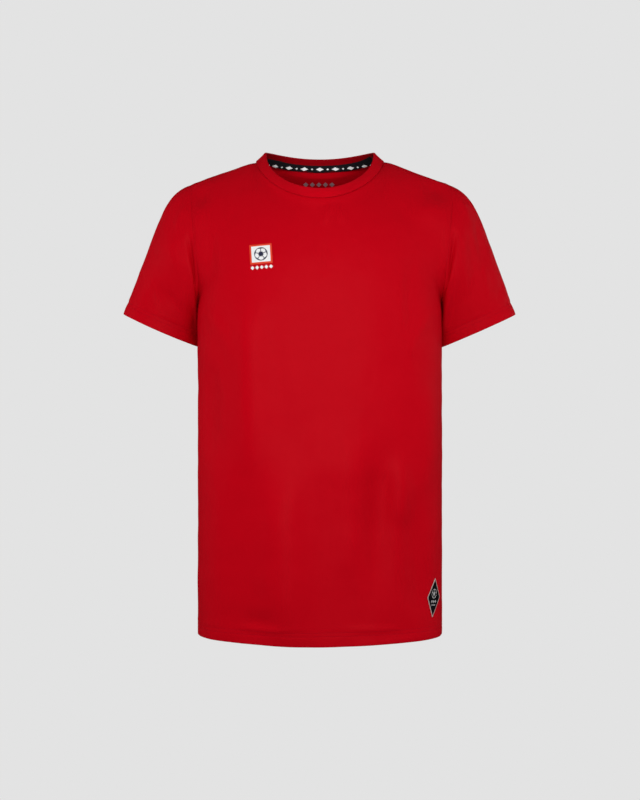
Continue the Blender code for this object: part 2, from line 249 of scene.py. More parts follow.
bodyForm = {
    "hemLevel": -0.6985, "hemSideRise": 0.0065, "hemRisePower": 1.3,
    "underarm": -0.213, "widestY": -0.022, "sideSeamY": 0.008, "squareness": 2.4,
    "underarmUp": 16 / 29,  # where the underarm lies on a panel that runs from 0 to 1
    "inwardPull": 0.6, "armholeCut": 0.24, "cutPowerBelow": 0.7, "cutPowerAbove": 1.3,
    "armholePullPower": 3, "foldFadePower": 6,
}
sections = millimetreTable(
    "level halfWidth front back",
    (-697, 179, -130, 118),
    (-560, 179, -128, 110),
    (-430, 179, -127, 105),
    (-320, 179, -127, 109),
    (-213, 179, -126, 114),
)
neckForm = {
    "halfWidth": 0.0943, "frontY": -0.093, "backY": 0.062, "fullness": 0.9,
    "sideLevel": 0.002, "frontLevel": -0.0636, "backLevel": -0.004, "backRise": 0.0,
    "frontPower": 1.25, "backPower": 1.25,  # how late the line drops on its way from the side
    "shoulderTurn": math.radians(11), "share": 0.55, "shoulderCrown": 0.005,
}
bandForm = {
    "halfWidth": 0.0808, "frontY": -0.0815, "backY": 0.056, "fullness": 0.8,
    "sideLevel": 0.0147, "frontLevel": -0.0481, "backLevel": 0.0129, "backRise": 0.0115,
    "frontPower": 1, "backPower": 2,
}
armhole = millimetreTable(  # at +X, from the underarm round by the front
    "x y z",
    (177.8, 8, -213),
    (179, -24, -204),
    (179.8, -46, -180),
    (183, -57, -146),
    (187.5, -55, -105),
    (190.8, -42, -72),
    (192.3, -16, -38.3),
    (193, 8, -34.2),
    (191.2, 35, -48),
    (186.5, 57, -85),
    (182, 64, -128),
    (178.5, 56, -172),
    (176.5, 36, -203),
)
shoulderSeamPoint = 6
frontRises = millimetreTable(
    "share rise inY inZ",
    (0.0, 60, 18, 45),
    (0.2, 60, 20, 43),
    (0.4, 62, 28, 36),
    (0.55, 64, 38, 26),
    (0.7, 62, 46, 20),
    (0.85, 50, 48, 20),
    (1.0, 30, 48, 22),
    plain=1,
)
backRises = millimetreTable(
    "share rise inY inZ",
    (0.0, 80, -36, 44),
    (0.2, 84, -40, 36),
    (0.4, 92, -46, 12),
    (0.55, 100, -52, -17),
    (0.7, 100, -58, -19),
    (0.85, 80, -60, -20),
    (1.0, 45, -60, -20),
    plain=1,
)
sleeveForm = {
    "cuffCentre": (0.2368, 0.0215, -0.2481),
    "cuffOutward": (0.0537, -0.0165, 0.023),
    "cuffForward": (-0.0104, -0.0433, -0.0068),
    "length": 0.21, "round": 0.42, "innerFrontTo": 0.25,
}
leaves = millimetreTable(
    "turn x y z toX toY toZ",
    (0.0, 3, 4, -18, 4, 6, -22),
    (0.12, 9, -8, -22, 10, 4, -34),
    (0.28, 36, -4, -26, 20, 8, -60),
    (0.42, 40, -2, -16, 40, 6, -110),
    (0.5, 40, 0, -14, 47.5, 4, -130),
    (0.6, 40, 4, -16, 40, 2, -110),
    (0.74, 36, 10, -26, 20, -4, -60),
    (0.9, 10, 10, -22, 6, 2, -34),
    plain=1,
)


def armholeTable():
    points = np.array(armhole)
    steps = np.linalg.norm(np.roll(points, -1, axis=0) - points, axis=1)
    return [(steps[:i].sum() / steps.sum(), *point) for i, point in enumerate(points)]


armholeRows = armholeTable()
shoulderSeamShare = armholeRows[shoulderSeamPoint][0]


def armholePoint(turn):
    return smoothRows(closedRows(armholeRows), np.mod(turn, 1))


def sectionPoint(angle, level):  # the angle runs from the middle of the front to the wearer's left
    halfWidth, front, back = np.moveaxis(smoothRows(sections, level), -1, 0)
    widest = bodyForm["widestY"]
    reach = np.where(np.cos(angle) > 0, front - widest, back - widest)
    power = 2 / bodyForm["squareness"]
    x = halfWidth * signedPower(np.sin(angle), power)
    return stacked(x, widest + reach * np.abs(np.cos(angle)) ** power, level)


def sideSeamAngle():
    back = sections[-1].back
    share = (bodyForm["sideSeamY"] - bodyForm["widestY"]) / (back - bodyForm["widestY"])
    return math.pi / 2 + math.asin(share ** (bodyForm["squareness"] / 2))


def evenAngles(first, last, steps=400, every=20):
    angles = np.linspace(first, last, steps + 1)
    lengths = lengthAlong(sectionPoint(angles, np.full(steps + 1, bodyForm["underarm"])))
    return np.stack([lengths / lengths[-1], angles], axis=1)[::every]


def loopPoint(form, turn):  # a line round the neck: 0 at +X and a quarter turn at the front
    back = np.sin(turn) < 0
    depth = np.abs(np.sin(turn))
    y = np.where(back, form["backY"] * depth, form["frontY"] * depth ** form["fullness"])
    level = np.where(back, form["backLevel"], form["frontLevel"])
    power = np.where(back, form["backPower"], form["frontPower"])
    z = form["sideLevel"] + (level - form["sideLevel"]) * depth**power
    z = z + np.where(back, form["backRise"] * depth * (1 - depth), 0)
    return stacked(form["halfWidth"] * np.cos(turn), y, z)


def neckSeam(turn):
    return loopPoint(neckForm, turn)


Panel = namedtuple("Panel", "angles neckTurn rises folds underarmTurn outward")
frontFolds = millimetreTable(
    "lean x z halfWidth halfLength lift",
    (0.02, 78, -515, 16, 85, -2.2),
    (0.02, 106, -485, 14, 50, 2),
    (0.05, 128, -560, 15, 65, -2.4),
    (-0.04, -45, -300, 20, 85, 1.6),
    (0.1, -145, -375, 22, 40, -2),
    (0.25, -96, -640, 30, 40, -2),
    plain=1,
)
backFolds = millimetreTable(
    "lean x z halfWidth halfLength lift",
    (0.1, 70, -330, 22, 110, -2.6),
    (-0.05, -40, -420, 20, 120, 2.2),
    (-0.12, -110, -300, 18, 90, -2.4),
    (0.06, 20, -560, 24, 80, -2),
    (0.04, 125, -560, 18, 75, 2),
    plain=1,
)
frontForm = Panel(evenAngles(0, sideSeamAngle()), math.pi / 2, frontRises, frontFolds, 0, -1)
backForm = Panel(evenAngles(math.pi, sideSeamAngle()), -math.pi / 2, backRises, backFolds, 1, 1)


def topEdge(panel, share):  # the neckline, and then the shoulder seam
    turnToShoulder = neckForm["shoulderTurn"] - panel.neckTurn
    neck = neckSeam(panel.neckTurn + turnToShoulder * np.minimum(share / neckForm["share"], 1))
    inner = neckSeam(np.array(neckForm["shoulderTurn"]))
    outer = np.array(armhole[shoulderSeamPoint])
    way = np.clip((share - neckForm["share"]) / (1 - neckForm["share"]), 0, 1)[..., None]
    shoulder = inner + (outer - inner) * way
    shoulder[..., 2] += neckForm["shoulderCrown"] * np.sin(math.pi * way[..., 0])
    return np.where((share <= neckForm["share"])[..., None], neck, shoulder)


def risingLine(panel, share, up):
    angle = smoothRows(panel.angles, share)[..., 0]
    rise, inY, inZ = np.moveaxis(smoothRows(panel.rises, share), -1, 0)
    base = sectionPoint(angle, np.full_like(angle, bodyForm["underarm"]))
    top = topEdge(panel, share)
    pull = stacked(bodyForm["inwardPull"] * (top[..., 0] - base[..., 0]), inY, inZ)
    return bezier(base, stacked(0 * rise, 0, rise), pull, top, up[..., None])


def foldLift(panel, share, x, z):
    total = np.zeros_like(x)
    for fold in panel.folds:
        along = (z - fold.z) / fold.halfLength
        across = (x - fold.x - fold.lean * (z - fold.z)) / fold.halfWidth
        total += fold.lift * np.exp(-(along**2) - across**2)
    return total * (1 - share ** bodyForm["foldFadePower"])


def panelPoints(panel, across, up):  # across runs from -1 to 1, up from 0 at the hem to 1 at the top
    across, up = np.broadcast_arrays(np.asarray(across, float), np.asarray(up, float))
    share = np.abs(across)
    underarmUp = bodyForm["underarmUp"]
    hem = bodyForm["hemLevel"] + bodyForm["hemSideRise"] * share ** bodyForm["hemRisePower"]
    level = hem + (bodyForm["underarm"] - hem) * np.minimum(up / underarmUp, 1)
    below = sectionPoint(smoothRows(panel.angles, share)[..., 0], level)
    way = np.clip((up - underarmUp) / (1 - underarmUp), 0, 1)
    turn = panel.underarmTurn + (shoulderSeamShare - panel.underarmTurn) * way
    power = bodyForm["cutPowerBelow"] + (bodyForm["cutPowerAbove"] - bodyForm["cutPowerBelow"]) * way
    full = 1 - bodyForm["armholeCut"] * np.abs(np.sin(math.pi * way)) ** power
    left = armholePoint(turn) - risingLine(panel, full, way)
    drawn = (share ** bodyForm["armholePullPower"])[..., None]
    above = risingLine(panel, share * full, way) + left * drawn
    point = np.where((up <= underarmUp)[..., None], below, above)
    point[..., 0] = np.copysign(point[..., 0], across)
    point[..., 1] += panel.outward * foldLift(panel, share, point[..., 0], point[..., 2])
    return point


# The sleeve at +X. The turn runs as the armhole's, down from 0 to 1. Where innerFront is less than 1,
# the cuff is squarer in front, on the side of the body
def sleevePoints(turn, down, innerFront):
    turn, down = np.broadcast_arrays(np.asarray(turn, float), np.asarray(down, float))
    start = armholePoint(turn) + (cloth["seamGap"], 0, 0)
    angle = math.pi * (1 - 2 * turn)
    outward, forward = np.array(sleeveForm["cuffOutward"]), np.array(sleeveForm["cuffForward"])
    power = np.where(turn < sleeveForm["innerFrontTo"], innerFront, 1)
    end = np.array(sleeveForm["cuffCentre"]) + outward * signedPower(np.cos(angle), power)[..., None]
    end = end + forward * signedPower(np.sin(angle), power)[..., None]
    pulls = smoothRows(closedRows(leaves), np.mod(turn, 1))
    return bezier(start, pulls[..., :3], pulls[..., 3:], end, down[..., None])


# How this jersey hangs, a little unlike the plain form. A pair is where a change starts and is whole
settled = {
    "shoulder": millimetreTable(  # how far the shoulders lie above or below the plain form, by |x|
        "x rise",
        (90, 0), (93.5, 0), (99, 1.9), (109, 1.6), (124, -0.6), (136.5, -2.1), (150, -2.4),
        (170.5, -1.4), (190, -0.2), (200, 0), (400, 0)),
    "shoulderReach": (0.091, 0.35),  # further in or out on |x|, the rise stays as it is there
    "shoulderZ": (-0.085, -0.035),
    "armholeRight": 0.0034, "armholeLeft": 0.0022, "armholeX": 0.188, "armholeWidth": 0.022,
    "armholeY": (0.005, -0.035), "armholeZ": (-0.215, -0.17),
    "wider": 0.0006, "widerZ": (-0.15, -0.25), "sidesX": (0.1, 0.17),
    "hemDrop": 0.0012, "hemDropX": (0.17, 0.0), "hemDropZ": (-0.5, -0.68),
    "sides": millimetreTable(  # how far the sides stand out
        "z right left",
        (-720, 0, 0), (-685, 0, 0), (-649, 0.4, -0.4), (-595.5, 0.2, -0.9), (-560, 0.8, -1.6),
        (-524, 0.2, -1.8), (-488.6, -1.2, -3), (-453, -1.2, -4.3), (-417.3, 0.6, -3.5),
        (-381.7, 3, -2.7), (-346, 2.5, -1.8), (-310.4, 0.9, 0), (-275, 0, 0), (-270, 0, 0)),
}


def settle(points):  # the same for all pieces
    x, y, z = points[..., 0], points[..., 1], points[..., 2]
    form, far = settled, np.abs(x)
    rise = smoothRows(form["shoulder"], np.clip(far, *form["shoulderReach"]))[..., 0]
    shift = np.where(x < 0, form["armholeRight"], form["armholeLeft"])
    shift = shift * hump(far, form["armholeX"], form["armholeWidth"])
    shift = shift * step(*form["armholeY"], y) * step(*form["armholeZ"], z)
    out = smoothRows(form["sides"], np.clip(z, form["sides"][0].z, form["sides"][-1].z))
    widen = np.where(x < 0, out[..., 0], out[..., 1]) + form["wider"] * step(*form["widerZ"], z)
    widen *= np.sign(x) * step(*form["sidesX"], far)
    drop = form["hemDrop"] * step(*form["hemDropZ"], z) * step(*form["hemDropX"], far)
    return points + stacked(shift + widen, 0 * y, rise * step(*form["shoulderZ"], z) - drop)


# Cloth pieces. A piece is a grid of points [across, along]; its edges are turned in or folded over,
# and it gets its thickness from a Solidify. Its cloths are u, v and the height above the hem's stitches.

cloth = {
    "thickness": 0.0007,
    "seamRadius": 0.00012, "seamDepth": 0.0045, "shoulderDepth": 0.0008,
    "hemRadius": 0.0009,
    "seamGap": 0.00008,
    "creaseFade": 2.2,  # how soon a crease fades towards its ends
    "fractal": (0.9, 2.2, 3),  # the roughness, step and number of the layers of unevenness
    "puff": 0.0012, "puffAway": 0.007, "puffWidth": 0.0042,
    "puffLeast": 0.75, "puffSpread": 0.5, "puffWaves": (95, 41),  # how the puff varies along a seam
}


def normalsOf(points):  # they point out of the garment
    normal = unit(np.cross(np.gradient(points, axis=0), np.gradient(points, axis=1)))
    centre = points.mean(axis=0, keepdims=True)
    return normal * np.sign((normal * (points - centre)).sum())


def lifted(points, lift):
    return points + normalsOf(points) * lift[..., None]


def rolledEdge(points, cloths, axis, end, turn, radius, steps, weight=1.0):
    # Both grids and the normals with one edge last, and the rows that roll that edge under by a turn
    p, n, c = [np.moveaxis(a, axis, 0)[::end] for a in (points, normalsOf(points), cloths)]
    out, cOut = unit(p[-1] - p[-2]), unit((c[-1] - c[-2]) * (1, 1, 0))
    rows, cRows = [], []
    for angle in np.linspace(0, turn, steps + 1):
        roll = out * (math.sin(angle) - 1) - n[-1] * (1 - math.cos(angle))
        rows.append(p[-1] + roll * radius * weight)
        cRows.append(c[-1] + cOut * radius * angle * weight)
    return p, n, c, cOut, rows, cRows


def withEdge(grid, rows, axis, end):  # the grid with these rows in place of its last one
    return np.moveaxis(np.concatenate([grid[:-1], rows])[::end], 0, axis)


def turnIn(points, cloths, axis, end, depth, weights=1.0):
    # The edge rolls under, and a narrow seam allowance follows it inward. Where a weight is 0 it stays
    weight = np.asarray(weights)[..., None]
    p, n, c, cOut, rows, cRows = rolledEdge(
        points, cloths, axis, end, math.pi / 2, cloth["seamRadius"], 4, weight)
    rows.append(rows[-1] - n[-1] * depth * weight)
    cRows.append(cRows[-1] + cOut * depth * weight)
    return withEdge(p, rows, axis, end), withEdge(c, cRows, axis, end)


def foldUnder(points, cloths, end, layers, radius, steps=6):
    # The last row of axis 1 becomes a fold, and as many rows as layers says are repeated inside. The
    # third result is 1 on the outer layer and 0 on the inner one
    p, n, c, cOut, rows, cRows = rolledEdge(points, cloths, 1, end, math.pi, radius, steps)
    for k in range(2, layers + 2):
        rows.append(p[-k] - n[-k] * 2 * radius)
        inward = np.linalg.norm((c[-k] - c[-1])[..., :2], axis=-1, keepdims=True)
        cRows.append(cRows[steps] + cOut * inward + (c[-k] - c[-1]) * (0, 0, 1))
    outer = np.concatenate([np.ones(len(p) - 1), np.linspace(1, 0, steps + 1), np.zeros(layers)])
    return withEdge(p, rows, 1, end), withEdge(c, cRows, 1, end), outer[::end]


def makePiece(name, bm, materials, thickness):
    mesh = bpy.data.meshes.new(name)
    bm.to_mesh(mesh)
    bm.free()
    for material in materials:
        mesh.materials.append(material)
    mesh.shade_smooth()
    piece = placed(name, mesh)
    wall = piece.modifiers.new("wall", "SOLIDIFY")
    wall.thickness = thickness
    wall.offset = -1
    wall.material_offset = len(materials) - 1  # the inside has its own finish where there are two
    return piece


def makeCloth(name, points, cloths, materials, thickness):
    across, along = points.shape[0] - 1, points.shape[1] - 1
    bm = bmesh.new()
    uvLayer, seamLayer = bm.loops.layers.uv.new("clothUV"), bm.loops.layers.uv.new("seamUV")
    bmesh.ops.create_grid(bm, x_segments=across, y_segments=along, size=1)
    spots = {v: (round((v.co.x + 1) / 2 * across), round((v.co.y + 1) / 2 * along)) for v in bm.verts}
    for vert, spot in spots.items():
        vert.co = points[spot]
    for face in bm.faces:
        for loop in face.loops:
            place = cloths[spots[loop.vert]]
            loop[uvLayer].uv, loop[seamLayer].uv = place[:2], place[::2]
    bmesh.ops.remove_doubles(bm, verts=bm.verts, dist=1e-6)
    bm.normal_update()
    middle = (across // 2, along // 2)
    centre, outward = Vector(points[middle]), Vector(normalsOf(points)[middle])
    nearest = min(bm.faces, key=lambda face: (face.calc_center_median() - centre).length_squared)
    if nearest.normal.dot(outward) < 0:
        bmesh.ops.reverse_faces(bm, faces=bm.faces)
    return makePiece(name, bm, materials, thickness)


def finish(piece, node):
    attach(piece, "root")
    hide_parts(node)


def addHemmed(name, points, cloths, cut, hemEnd, topDepth, materials, node):
    # A piece with a hem at one end of axis 1, and seams on its three other sides
    layers = int(cut["hemDepth"] / cut["hemStep"])
    points, cloths, outer = foldUnder(points, cloths, hemEnd, layers, cloth["hemRadius"])
    for end in (1, -1):
        points, cloths = turnIn(points, cloths, 0, end, cloth["seamDepth"], outer)
    points, cloths = turnIn(points, cloths, 1, -hemEnd, topDepth)
    piece = makeCloth(name, points, cloths, materials, cloth["thickness"])
    finish(piece, node)


def clothPlaces(points, row, aboveStitches):  # u is measured along one row, and v along the middle
    u, v = lengthAlong(points[:, row]), lengthAlong(points[len(points) // 2])
    return stacked(u[:, None], v[None, :], aboveStitches)


def creaseLift(creases, x, z):
    total = np.zeros_like(x)
    for crease in creases:
        dx, dz = crease.toX - crease.x, crease.toZ - crease.z
        length = math.hypot(dx, dz)
        t = ((x - crease.x) * dx + (z - crease.z) * dz) / length**2
        off = ((x - crease.x) * dz - (z - crease.z) * dx) / length - crease.bow * 4 * t * (1 - t)
        fade = np.exp(-cloth["creaseFade"] * np.abs(2 * t - 1) ** 4)
        total += crease.lift * fade * hump(off, 0, crease.width)
    return total


def hemLift(cut, height, seam, sink=1.0, swell=1.0):  # a hem's relief, by the height above its fold
    lift = cut["hemPuff"] * np.clip(1 - ((height - cut["hemMiddle"]) / cut["hemMiddle"]) ** 2, 0, 1)
    for line, share in ((seam, 1), (seam - cut["twinGap"], cut["twinShare"])):
        lift -= share * sink * cut["stitchSink"] * hump(height, line, cut["stitchWidth"])
    lift += cut["flare"] * np.clip(1 - height / seam, 0, 1)
    return lift + cut["swell"] * swell * hump(height, seam + cut["swellAbove"], cut["swellWidth"])


def unevenness(points, scale, amount, seed):  # the seed is where in the noise it starts
    flat = points.reshape(-1, 3) * scale
    values = [noise.fractal(Vector(p) + Vector((seed, 0, 0)), *cloth["fractal"]) for p in flat]
    return np.array(values).reshape(points.shape[:-1]) * amount


# Materials


def setBump(material, height, look):
    inputs = {"Height": height, "Strength": look["bump"], "Distance": look["bumpHeight"]}
    setShader(material, {"Normal": addNode(material, "Bump", inputs)["Normal"]})


def layColour(material, below, colour, mask):  # a colour over another where the mask is 1
    below, colour = [(*value, 1) if isinstance(value, tuple) else value for value in (below, colour)]
    inputs = {"Factor": mask, "A": below, "B": colour}
    return addNode(material, "Mix", inputs, data_type="RGBA")["Result"]


def recolour(material, colour, mask):  # the same over what a finished material has
    below = material.node_tree.nodes["Principled BSDF"].inputs["Base Color"].links[0].from_socket
    setShader(material, {"Base Color": layColour(material, below, colour, mask)})


def millimetres(material, uvMap="clothUV"):  # the piece's own u and v, in millimetres
    uv = addNode(material, "UVMap", {}, uv_map=uvMap)["UV"]
    split = addNode(material, "SeparateXYZ", {"Vector": uv})
    calc = nodeMaths(material)
    return calc("MULTIPLY", split["X"], 1000.0), calc("MULTIPLY", split["Y"], 1000.0)


# In the looks, lengths are in metres, and those of stitches, threads, marks and borders in millimetres
knitLook = {
    "bright": (0.524, 0.0003, 0.007), "dull": (0.48, 0.0002, 0.006),
    "wale": 0.0011, "course": 0.0009,  # pitch of the knit
    "courseHeight": 0.6, "courseWander": 1.5, "courseDetail": 1.0,
    "mottleScale": 9.0, "mottleDetail": 4.0, "mottle": 0.6, "loopTone": 0.25,
    "bump": 0.45, "bumpHeight": 0.00012,
    "smooth": 0.44, "rough": 0.56, "specular": 0.03,
    "thread": (0.43, 0.0005, 0.008), "stitch": 3.0, "stitchLength": 2.4, "stitchWidth": 0.35,
    "twin": 5.0, "stitchHeight": 2.0,
}
ribLook = {
    **knitLook, "bright": (0.564, 0.0006, 0.008), "dull": (0.516, 0.0004, 0.007),
    "wale": 0.0013, "bump": 0.6, "bumpHeight": 0.00018,
    "inside": (0.235, 0.0002, 0.0035), "paintedShadeFrom": 22.0,  # painted shade: the inner side's darker colour, from this height up from the seam, over the fold
}


def knitMaterial(name, look):
    material = nodeMaterial(name)
    calc = nodeMaths(material)
    uv = addNode(material, "UVMap", {}, uv_map="clothUV")["UV"]
    scale = (1 / look["wale"], 1 / look["course"], 1)
    pitch = addNode(material, "Mapping", {"Vector": uv, "Scale": scale})["Vector"]
    wave = {"Vector": pitch, "Scale": math.tau / 20}  # one band to one unit
    wander = {"Distortion": look["courseWander"], "Detail": look["courseDetail"]}
    wales = addNode(material, "TexWave", wave, bands_direction="X")["Fac"]  # the columns of loops
    courses = addNode(material, "TexWave", {**wave, **wander}, bands_direction="Y")["Fac"]  # the rows
    loops = calc("MULTIPLY_ADD", courses, look["courseHeight"], wales)
    stitches = hemStitches(material, look)
    setBump(material, calc("MULTIPLY_ADD", stitches, look["stitchHeight"], loops), look)

    place = addNode(material, "TexCoord", {})["Object"]
    mottle = {"Vector": place, "Scale": look["mottleScale"], "Detail": look["mottleDetail"]}
    mottle = addNode(material, "TexNoise", mottle)["Fac"]  # faint unevenness of the dye
    amount = calc("MULTIPLY_ADD", mottle, look["mottle"], calc("MULTIPLY", loops, look["loopTone"]))
    tone = layColour(material, look["dull"], look["bright"], amount)
    slope = (look["smooth"] - look["rough"]) / (1 + look["courseHeight"])
    setShader(material, {
        "Base Color": layColour(material, tone, look["thread"], stitches),
        "Roughness": calc("MULTIPLY_ADD", loops, slope, look["rough"]),
        "Specular IOR Level": look["specular"],
    })
    return material


def hemStitches(material, look):  # 1 on the thread of two rows of stitches
    u, v = millimetres(material, "seamUV")
    calc = nodeMaths(material)
    dash = calc("LESS_THAN", calc("WRAP", u, look["stitch"], 0.0), look["stitchLength"])
    upper = calc("LESS_THAN", calc("ABSOLUTE", v), look["stitchWidth"])
    lower = calc("LESS_THAN", calc("ABSOLUTE", calc("ADD", v, look["twin"])), look["stitchWidth"])
    return calc("MULTIPLY", dash, calc("MAXIMUM", upper, lower))


def lozenge(calc, u, v, halfWidth, halfHeight):  # 1 inside
    reach = calc("ADD", calc("DIVIDE", calc("ABSOLUTE", u), halfWidth),
                 calc("DIVIDE", calc("ABSOLUTE", v), halfHeight))
    return calc("LESS_THAN", reach, 1.0)


def repeated(calc, u, pitch):  # u from the middle of the nearest repeat
    return calc("WRAP", u, pitch / 2, -pitch / 2)


ball = {"middle": 0.34, "halfLine": 0.055, "outer": 0.8, "rim": 0.9}  # in shares of its radius


def ballMark(calc, u, v, radius):  # the outlines of a plain football
    r = calc("SQRT", calc("ADD", calc("MULTIPLY", u, u), calc("MULTIPLY", v, v)))
    toSpoke = calc("ABSOLUTE", repeated(calc, calc("ARCTAN2", u, v), math.tau / 5))
    out, aside = calc("MULTIPLY", r, calc("COSINE", toSpoke)), calc("MULTIPLY", r, calc("SINE", toSpoke))
    inner = calc("LESS_THAN", out, ball["middle"] * radius)
    spoke = calc("LESS_THAN", aside, ball["halfLine"] * radius)
    outer = calc("GREATER_THAN", out, ball["outer"] * radius)
    rim = calc("GREATER_THAN", r, ball["rim"] * radius)
    drawn = calc("MAXIMUM", calc("MAXIMUM", inner, spoke), calc("MAXIMUM", outer, rim))
    return calc("MULTIPLY", drawn, calc("LESS_THAN", r, radius))


threadForm = {"along": 0.8, "aside": 0.6, "gloss": 0.03}  # the threads' slant, and gloss on their tops


def finishTrim(material, colour, u, v, look):  # fine slanting threads of a woven or sewn trim
    calc = nodeMaths(material)
    turns, along, aside = math.tau / look["thread"], threadForm["along"], threadForm["aside"]
    slant = calc("ADD", calc("MULTIPLY", u, along), calc("MULTIPLY", v, aside))
    across = calc("SUBTRACT", calc("MULTIPLY", v, along), calc("MULTIPLY", u, aside))
    threads = calc("ADD", calc("SINE", calc("MULTIPLY", slant, turns)),
                   calc("SINE", calc("MULTIPLY", across, turns)))
    setBump(material, threads, look)
    setShader(material, {
        "Base Color": colour,
        "Roughness": calc("MULTIPLY_ADD", threads, -threadForm["gloss"], look["roughness"]),
        "Specular IOR Level": look["specular"],
    })
    return material


insidePrint = {
    "colour": (0.33, 0.18, 0.2), "x": -0.0015, "z": -0.0232,
    "pitch": 10.0, "halfCount": 2.5, "halfWidth": 4.2, "halfHeight": 3.4,
}


def printedKnit():  # the jersey's knit with plain grey marks, for the inside of the back
    material = knitMaterial("redKnitInside", knitLook)
    calc, look = nodeMaths(material), insidePrint
    split = addNode(material, "SeparateXYZ", {"Vector": addNode(material, "TexCoord", {})["Object"]})
    u = calc("MULTIPLY", calc("SUBTRACT", split["X"], look["x"]), 1000.0)
    v = calc("MULTIPLY", calc("SUBTRACT", split["Z"], look["z"]), 1000.0)
    marks = lozenge(calc, repeated(calc, u, look["pitch"]), v, look["halfWidth"], look["halfHeight"])
    near = calc("LESS_THAN", calc("ABSOLUTE", u), look["pitch"] * look["halfCount"])
    recolour(material, look["colour"], calc("MULTIPLY", marks, near))
    return material


def shadePaintedNeckRib():  # the neckband's inner side is painted darker, as painted shade
    material = knitMaterial("redNeckRib", ribLook)
    v = millimetres(material)[1]
    # painted shade: past the fold, the band's inner side takes the darker inside colour
    recolour(material, ribLook["inside"], nodeMaths(material)("GREATER_THAN", v, ribLook["paintedShadeFrom"]))
    return material


jerseyKnit = knitMaterial("redJerseyKnit", knitLook)
neckRibKnit = shadePaintedNeckRib()
printedInside = printedKnit()
print("knit materials made")

# Front and back

panelCut = {
    "halfColumns": 62, "bodyRows": 104, "chestRows": 62, "inset": 0.0001, "halfGirth": 0.25,
    "evening": 60, "evenFrom": 0.58, "evenFull": 0.68, "evenUntil": 0.93, "underarmReach": 0.1,
    "topFadeFrom": 0.95, "sideFadePower": 24, "puffFadePower": 40, "underarmFadePower": 6,
    "hemDepth": 0.0205, "hemNarrowing": 0.005, "twinGap": 0.005, "twinShare": 1.0,
    "hemStep": 0.0017, "hemRows": 20, "hemPuff": 0.0004, "hemMiddle": 0.012, "flare": 0.0,
    "stitchSink": 0.0004, "stitchWidth": 0.0015, "leastSink": 0.35,
    "swell": 0.0004, "swellAbove": 0.006, "swellWidth": 0.004,
    "unevenMean": 0.55, "unevenSpread": 1.3, "unevenScale": 16.0,
    "waviness": 0.0027, "wavinessScale": 8.0, "streaks": 0.001, "streakScale": 22.0,
    "pucker": 0.00035, "puckerScale": 75.0, "puckerReach": 0.012,
}
creaseColumns = "x z toX toZ bow width lift"
frontCreases = millimetreTable(
    creaseColumns,
    (-104, -200, -96, -470, -4, 27, 13),
    (-160, -290, -158, -440, 0, 19, -7.5),
    (-50, -440, -43, -722, 6, 35, 17.5),
    (-155, -445, 155, -445, 0, 45, 5),
    (-115, -662, -55, -664, 0, 12, -3),
    (42, -400, 44, -620, 4, 22, 5.5),
    (88, -400, 92, -640, 3, 26, -12),
    (116, -435, 119, -535, 2, 13, 5),
    (141, -480, 144, -670, 3, 19, -9),
    (157, -320, 160, -490, 0, 18, 8.5),
    (131, -140, 130, -275, 2, 10, -3.4),
    (-158, -105, -157, -180, 0, 10, -3.4),
    (8, -125, 7, -180, 1, 7, -1.4),
    (0, -360, 2, -560, 3, 14, 2.6),
    (150, -40, 206, -46, 0, 15, -3),
    (142, -68, 208, -98, 0, 20, 4.6),
    (-158, -50, -202, -58, 0, 14, -4),
    (-160, -82, -202, -92, 0, 17, 2.8),
    (172, -215, 120, -300, 8, 10, 2.2),
    (-172, -215, -122, -300, -8, 11, 2.6),
    (15, -74, 6, -104, 1, 5, 1.9),
    (27, -72, 36, -102, 1, 5, 1.8),
    (-118, -674.5, -40, -675.5, 0, 4, 1.3),
    (-118, -680.8, -40, -681.2, 0, 3.8, -0.4),
    (-120, -696.5, -30, -699, 0, 7.5, 1),
    (36, -674, 115, -675.5, 0, 4.6, 1.4),
    (30, -699, 165, -690.5, 0, 8, 2.2),
)
backCreases = millimetreTable(
    creaseColumns,
    (0, -50, 4, -300, 4, 14, -2.4),
    (-60, -110, -100, -380, -12, 14, 4),
    (70, -120, 110, -400, 12, 14, 3.6),
    (-172, -225, -100, -330, -12, 11, 3.4),
    (172, -230, 110, -320, 12, 11, 3),
    (30, -400, 34, -620, 3, 13, -4),
    (-70, -440, -66, -660, 3, 13, 3.8),
    (-110, -420, -116, -640, 3, 13, -4),
    (90, -470, 86, -650, 3, 15, 3.6),
    (140, -360, 146, -560, 3, 14, -2.8),
)


def seamPuff(away, along, seed):  # the cloth rises a little on both sides of a seam, unevenly
    fast, slow = cloth["puffWaves"]
    uneven = np.sin(along * fast + seed) * np.sin(along * slow + 2 * seed)
    uneven = cloth["puffLeast"] + cloth["puffSpread"] * uneven
    return cloth["puff"] * uneven * hump(away, cloth["puffAway"], cloth["puffWidth"])


def evened(points, axis, shares, times):  # smooths along one axis of the grid
    shares = np.moveaxis(np.broadcast_to(shares, points.shape[:2]), axis, 0)
    points = np.moveaxis(points.copy(), axis, 0)
    for _ in range(times):
        points[1:-1] += ((points[:-2] + points[2:]) / 2 - points[1:-1]) * shares[1:-1, :, None]
    return np.moveaxis(points, 0, axis)


